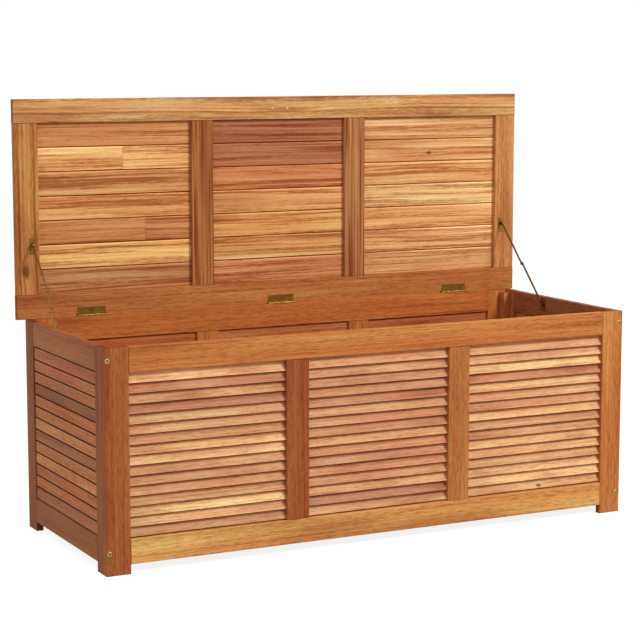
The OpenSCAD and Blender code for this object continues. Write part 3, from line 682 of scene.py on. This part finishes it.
LOUVRES = {"louvres_left": "gmrdrrragrsrrhgs", "louvres_centre": "trssmrustumuutdr",
           "louvres_right": "tthmarrasraarght"}
LOUVRE_KNOTS = {"louvres_right": [(0.393, 0.078, 0.003)]}
for seed, (name, letters) in enumerate(LOUVRES.items()):
    dress(name, acacia(name, "X", "Z", None, "louvre", LOUVRE_SEED + seed,
                       louvre_row(name, letters), LOUVRE_KNOTS.get(name, ())))
print("louvres:", sum(len(v) for v in LOUVRES.values()))

# %% [markdown]
# The lid's panels are of wider slats with lapped edges. They are the showiest boards, with
# close stripes of tan and red-brown, and no two beside each other match. Their rows stand
# upright in the open lid, so they are counted by height.

# %% Lid slats
LID_SLATS = {
    # from the front rail down
    "lid_slats_left": [(220, 150, 95), (249, 187, 122), (226, 163, 105), (239, 177, 113),
                       (219, 153, 97), (252, 200, 126), (203, 143, 94)],
    "lid_slats_centre": [(188, 122, 83), (188, 120, 79), (220, 147, 95), (234, 174, 112),
                         (235, 176, 107), (232, 174, 110), (218, 150, 101)],
    "lid_slats_right": [(232, 178, 121), (236, 177, 117), (243, 190, 125), (255, 216, 153),
                        (242, 180, 117), (249, 196, 137), (232, 176, 120)],
}
LID_KNOTS = {"lid_slats_right": [(0.387, 0.771, 0.0035)]}
LID_JOINTS = {"lid_slats_left": {1: -0.373, 4: -0.322}}


def upright_row(start, pitch, tones, **more):
    """A row of slats counted upwards from the height called start."""
    up = (0.0, 0.0, 1.0)
    return {"direction": up, "over": up, "start": start, "pitch": pitch, "tones": tones, **more}


lid_pitch = (LID_OPENING[1] - LID_OPENING[0]) / len(LID_SLATS["lid_slats_left"])
for seed, (name, tones) in enumerate(LID_SLATS.items()):
    joints = LID_JOINTS.get(name, {})
    places = [joints.get(i, NO_JOINT) for i in range(len(tones))]
    row = upright_row(LID_OPENING[0], lid_pitch, tones[::-1], joints=places[::-1])
    dress(name, acacia(name, "X", "Z", None, "stripe", LID_SEED + seed, row,
                       LID_KNOTS.get(name, ())))
print("lid slats:", sum(len(v) for v in LID_SLATS.values()), "pitch", round(lid_pitch * 1000, 1))

# %% [markdown]
# The side and back slats and the floor boards come from the same stack of wood, in the
# browner tones that a maker keeps for the less visible faces. Each letter is one tone, and
# the letters of a wall run from its top slat down.

# %% Side, back and floor boards
BROWNS = {"w": (222, 148, 88), "k": (212, 134, 76), "o": (203, 126, 72), "b": (193, 118, 68),
          "f": (191, 113, 66), "m": (182, 113, 66), "d": (164, 101, 64)}
WALLS = {"left_slats": ("Y", "fobdookmkwoom"), "right_slats": ("Y", "okbofbkobfdok"),
         "back_slats_left": ("X", "kobofkdbokfbo"), "back_slats_centre": ("X", "bokfobkdobkof"),
         "back_slats_right": ("X", "fkobdokbfkobk")}
WALL_PITCH, WALL_MIDDLE = 0.0245, 0.232
for seed, (name, (along, letters)) in enumerate(WALLS.items()):
    tones = [BROWNS[c] for c in reversed(letters)]
    row = upright_row(WALL_MIDDLE - len(tones) / 2 * WALL_PITCH, WALL_PITCH, tones)
    dress(name, acacia(name, along, "Z", None, "plain", WALL_SEED + seed, row))
low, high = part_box("floor_boards")
tones = [BROWNS[c] for c in "okbofkobdokfbokobk"]
FLOOR_COUNT, RIGHT = len(tones), (1.0, 0.0, 0.0)
row = {"direction": RIGHT, "over": RIGHT, "start": low.x,
       "pitch": (high.x - low.x) / FLOOR_COUNT, "tones": tones}
dress("floor_boards", acacia("floor_boards", "Y", "X", None, "plain", FLOOR_SEED, row))
print("wall slats:", sum(len(v[1]) for v in WALLS.values()), "floor boards:", FLOOR_COUNT)

# %% [markdown]
# The fittings are steel with an aged finish: pale brass on the bolts and the handle, dark
# bronze on the stays and hinges, and a duller brass where a recess is pressed in. Handling
# rubs the finish in soft clouds, so the colour and the gloss wander together.

# %% Aged metal
def aged(name, light, dark, rough):
    """Metal that clouds over from its light to its dark colour, with fine scratches."""
    f = Finish(name)
    place = f.node("TexCoord", out=OBJECT_PLACE)
    cloud = f.noise(stretched(f, place, 140.0, 140.0), 3.0, 0.6)
    scratch = f.noise(stretched(f, place, 900.0, 300.0), 1.0)
    colour = f.mix(f.spread(cloud, 0.25, 0.75), light, dark)
    bump = f.node("Bump", {}, {"Strength": 0.15, "Distance": 0.0001, "Height": scratch})
    f.fill(f.surface, {"Base Color": colour, "Metallic": 1.0, "Roughness": rough + cloud * 0.2,
                       "Normal": bump})
    return f.material


brass = aged("aged brass", linear(208, 182, 132), linear(152, 124, 82), 0.30)
bronze = aged("dark bronze", linear(154, 112, 46), linear(92, 64, 26), 0.38)
recessed = aged("darkened recess", linear(140, 116, 74), linear(100, 80, 48), 0.60)
METAL_NODES = {
    "barrel_nuts": brass, "batten_screws": brass, "stay_box_plates": bronze,
    "stay_lid_brackets": bronze, "left_lower_arm": bronze, "left_upper_arm": bronze,
    "right_lower_arm": bronze, "right_upper_arm": bronze, "hinge_box_leaves": bronze,
    "hinge_lid_leaves": bronze, "hinge_pins": bronze,
}
for name, metal in METAL_NODES.items():
    dress(name, metal)
print("metal nodes:", len(METAL_NODES))

# %% [markdown]
# Bolts and screws are turned parts with a pressed recess. One of each is built upright with
# its head at the origin. An outline could be spun round, but that leaves a seam to close.
# So a disc is the start, and each step pulls its lower face further down and changes its
# width: the rim, the taper, the shank and the point.

# %% Turned parts
MM = 0.001


def turned(name, profile, metal, sides=24):
    """A turned solid. profile lists (height, radius) in millimetres from the top face down."""
    top, radius = profile[0]
    bpy.ops.mesh.primitive_circle_add(vertices=sides, radius=radius * MM, fill_type="NGON",
                                      location=(0, 0, top * MM))
    obj = bpy.context.object
    obj.name = name
    bpy.ops.object.transform_apply(location=True, rotation=True, scale=True)
    bpy.ops.object.mode_set(mode="EDIT")
    bpy.ops.mesh.select_mode(type="FACE")
    bpy.ops.mesh.select_all(action="SELECT")
    for (above, wide), (below, narrow) in zip(profile, profile[1:]):
        step = (0, 0, (below - above) * MM)
        bpy.ops.mesh.extrude_region_move(TRANSFORM_OT_translate={"value": step})
        bpy.ops.transform.resize(value=(narrow / wide, narrow / wide, 1),
                                 center_override=(0, 0, below * MM))
    bpy.ops.mesh.select_all(action="SELECT")
    bpy.ops.mesh.normals_make_consistent(inside=False)
    bpy.ops.mesh.select_all(action="DESELECT")
    bpy.ops.object.mode_set(mode="OBJECT")
    obj.data.materials.append(metal)
    return obj


sample = turned("sample", [(0, 3), (-1, 3), (-1, 1.5), (-9, 1.5)], brass)
print("a plain pin has", len(sample.data.polygons), "faces")
bpy.data.objects.remove(sample)

# %% [markdown]
# The recess is pressed with a cutter: a six-sided punch for the bolts' hex key, and a thin
# blade used twice, a quarter turn apart, for a screw's cross. The walls of a recess keep
# the duller brass of the cutter, since no hand rubs them.

# %% Pressed recesses
# In millimetres, and half of a cutter's length goes into the head. The blade's width and
# thickness are shares of the screw's radius.
PUNCH_RADIUS, PUNCH_LENGTH = 2.9, 3.2
BLADE_WIDE, BLADE_THICK, BLADE_LENGTH = 2.2, 0.34, 2.4
HEAD = 2  # a countersunk head's radius, in radii of the screw


def pressed(obj, cutter):
    """Cuts the cutter's shape out of obj. The walls of the cut take the cutter's finish."""
    bpy.ops.object.transform_apply(location=True, rotation=True, scale=True)
    cutter.data.materials.append(recessed)
    press = obj.modifiers.new("press", "BOOLEAN")
    press.operation, press.object, press.solver = "DIFFERENCE", cutter, "EXACT"
    press.material_mode = "TRANSFER"
    bpy.context.view_layer.objects.active = obj
    bpy.ops.object.modifier_apply(modifier=press.name)
    bpy.data.objects.remove(cutter)


def hex_bolt(length):
    """Its domed head sits 0.4 mm below the wood, so that no edge catches a hand."""
    bolt = turned("bolt", [(-0.4, 3.9), (-0.55, 4.7), (-0.9, 5.25), (-1.4, 5.5), (-4.4, 5.5),
                           (-4.4, 3.0), (-length + 1, 3.0), (-length, 2.2)], brass, 32)
    bpy.ops.mesh.primitive_cylinder_add(vertices=6, radius=PUNCH_RADIUS * MM,
                                        depth=PUNCH_LENGTH * MM)
    pressed(bolt, bpy.context.object)
    return bolt


def cross_screw(radius, length, metal, head=None):
    """A countersunk screw, or one with another head profile."""
    head = head or [(0, radius * 1.9), (-0.25, radius * HEAD), (-2.2, radius)]
    screw = turned("screw", head + [(-length + 2, radius), (-length, radius * 0.25)], metal, 20)
    for turn in (0, math.pi / 2):
        bpy.ops.mesh.primitive_cube_add(size=1, rotation=(0, 0, turn))
        bpy.context.object.scale = (radius * BLADE_WIDE * MM, radius * BLADE_THICK * MM,
                                    BLADE_LENGTH * MM)
        pressed(screw, bpy.context.object)
    return screw


print("punch and blade are ready")

# %% [markdown]
# Every fitting is a copy of its master, turned to face out of its board and set at the place
# that the frame's own fitting has. The frame's plain fittings step aside for them.

# %% Setting the fittings
FORWARD, BACKWARD, UP = (0, -1, 0), (0, 1, 0), (0, 0, 1)
SMOOTH = math.radians(35)  # edges sharper than this stay crisp


def set_in(master, name, place, facing, body):
    """A copy of a turned part whose head sits at place and faces along facing."""
    bpy.ops.object.select_all(action="DESELECT")
    master.select_set(True)
    bpy.context.view_layer.objects.active = master
    bpy.ops.object.duplicate()
    copy = bpy.context.object
    copy.name = name
    copy.rotation_euler = Vector(facing).to_track_quat("Z", "Y").to_euler()
    copy.location = place
    bpy.ops.object.transform_apply(location=True, rotation=True, scale=True)
    bpy.ops.object.shade_smooth_by_angle(angle=SMOOTH)
    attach(copy, body)
    return copy


def inward(place):
    """The direction from the place to the middle of the box, along the box."""
    return (-math.copysign(1, place.x), 0, 0)


def fit_out(master, node, body, facing, places):
    """Sets a copy of the master at each place, in the stead of the node's fittings."""
    copies = [set_in(master, "%s_%d" % (node, i + 1), place, facing or inward(place), body)
              for i, place in enumerate(places)]
    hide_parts(node)
    bpy.data.objects.remove(master)
    print(node.replace("_", " ") + ":", len(copies))


def grid(xs, ys, zs):
    """Every place with one of the xs, one of the ys and one of the zs."""
    return [Vector((x, y, z)) for x in xs for y in ys for z in zs]


def both(distance):
    """A distance to both sides of a middle."""
    return (-distance, distance)


def middle(name):
    low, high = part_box(name)
    return (low + high) / 2


print("middle of the handle screws:", [round(v, 4) for v in middle("handle_screws")])

# %% [markdown]
# Four bolts at the front and four at the back pull the corners together. Each runs into a
# cross dowel in the next board, and its head sits in a counterbore.

# %% Bolts
FRONT_BOLT_X, FRONT_BOLT_HEIGHTS = 0.5925, (0.044, 0.420)
BACK_BOLT_X, BACK_BOLT_HEIGHTS = 0.576, (0.091, 0.420)
front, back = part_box("front_left_post")[0].y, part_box("back_left_stile")[1].y
fit_out(hex_bolt(33), "front_bolts", "box", FORWARD,
        grid(both(FRONT_BOLT_X), [front], FRONT_BOLT_HEIGHTS))
fit_out(hex_bolt(30), "back_bolts", "box", BACKWARD,
        grid(both(BACK_BOLT_X), [back], BACK_BOLT_HEIGHTS))

# %% [markdown]
# Three screws hold each hinge leaf, and two each plate of a stay. They are short, so that
# no point comes out of the frame. Their places come from the boxes round the frame's
# own screws, so a screw's head sits just inside the end of such a box.

# %% Hinge and stay screws
HINGES, LEAF_SCREWS = (-0.450, 0.0, 0.450), (-0.022, 0.0, 0.022)
LEAF_RADIUS, STAY_RADIUS, SHORT = 1.5, 1.2, 11
PLATE_HALF = 0.0095  # from the middle of a stay's plate to its screws
leaf_xs = [hinge + x for hinge in HINGES for x in LEAF_SCREWS]
low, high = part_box("hinge_box_screws")
fit_out(cross_screw(LEAF_RADIUS, SHORT, bronze), "hinge_box_screws", "box", UP,
        grid(leaf_xs, [middle("hinge_box_screws").y], [high.z]))
low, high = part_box("hinge_lid_screws")
fit_out(cross_screw(LEAF_RADIUS, SHORT, bronze), "hinge_lid_screws", "lid", FORWARD,
        grid(leaf_xs, [low.y], [middle("hinge_lid_screws").z]))
low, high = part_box("stay_box_screws")
centre = middle("stay_box_screws")
fit_out(cross_screw(STAY_RADIUS, SHORT, bronze), "stay_box_screws", "box", None,
        grid(both(high.x - SHORT * MM), [centre.y], [centre.z + z for z in both(PLATE_HALF)]))
low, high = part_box("stay_lid_screws")
head = STAY_RADIUS * HEAD * MM
fit_out(cross_screw(STAY_RADIUS, SHORT, bronze), "stay_lid_screws", "lid", FORWARD,
        grid(both(high.x - head), [low.y], (low.z + head, high.z - head)))

# %% [markdown]
# The pull handle is screwed on through the lid's front rail, so two broad domed heads show
# inside the open lid. Every floor board has a screw near each end, down into the ledgers.

# %% Handle and floor screws
HANDLE_RADIUS, FLOOR_RADIUS, LONG, POST_HALF = 2.0, 1.6, 22, 0.018
DOMED = [(0, 2.3), (-0.2, 2.9), (-0.6, 3.3), (-1.2, 3.4), (-1.2, HANDLE_RADIUS)]
low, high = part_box("handle_screws")
fit_out(cross_screw(HANDLE_RADIUS, LONG, brass, DOMED), "handle_screws", "lid", FORWARD,
        grid(both(POST_HALF), [low.y], [middle("handle_screws").z]))
low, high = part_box("floor_screws")
head = FLOOR_RADIUS * HEAD * MM
step = (high.x - low.x - 2 * head) / (FLOOR_COUNT - 1)
fit_out(cross_screw(FLOOR_RADIUS, LONG, brass), "floor_screws", "box", UP,
        grid([low.x + head + i * step for i in range(FLOOR_COUNT)],
             (low.y + head, high.y - head), [high.z]))

# %% [markdown]
# The pull handle is a rod on two waisted posts. Rod and posts are turned like the screws.
# Three parts pushed into each other would look much the same, but the real handle is one
# casting, so a union melts them together.

# %% Pull handle
GRIP_OUT = 0.020  # from the rail's face to the middle of the grip
ROD = [(28, 2.4), (27.6, 3.3), (26.6, 3.9), (22, 3.7), (8, 3.3), (-8, 3.3), (-22, 3.7),
       (-26.6, 3.9), (-27.6, 3.3), (-28, 2.4)]
POST = [(19.5, 3.2), (11, 2.6), (5, 3.0), (3, 3.9), (2, 5.4), (1.4, 6.0), (0, 6.0)]


def melted(base, other):
    """Joins the other shape to the base, without a wall between them."""
    union = base.modifiers.new("union", "BOOLEAN")
    union.operation, union.object, union.solver = "UNION", other, "EXACT"
    bpy.context.view_layer.objects.active = base
    bpy.ops.object.modifier_apply(modifier=union.name)
    bpy.data.objects.remove(other)


outer_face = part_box("lid_front_rail")[1].y
grip_z = middle("lid_handle").z
rod, post = turned("rod", ROD, brass), turned("post", POST, brass)
pull = set_in(rod, "pull_handle", (0, outer_face + GRIP_OUT, grip_z), (1, 0, 0), "lid")
for x in both(POST_HALF):
    melted(pull, set_in(post, "post", (x, outer_face, grip_z), (0, 1, 0), "lid"))
bpy.context.view_layer.objects.active = pull
pull.select_set(True)
bpy.ops.object.shade_smooth_by_angle(angle=SMOOTH)
for master in (rod, post):
    bpy.data.objects.remove(master)
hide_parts("lid_handle")
print("handle faces:", len(pull.data.polygons), "box", [round(v, 4) for v in pull.dimensions])
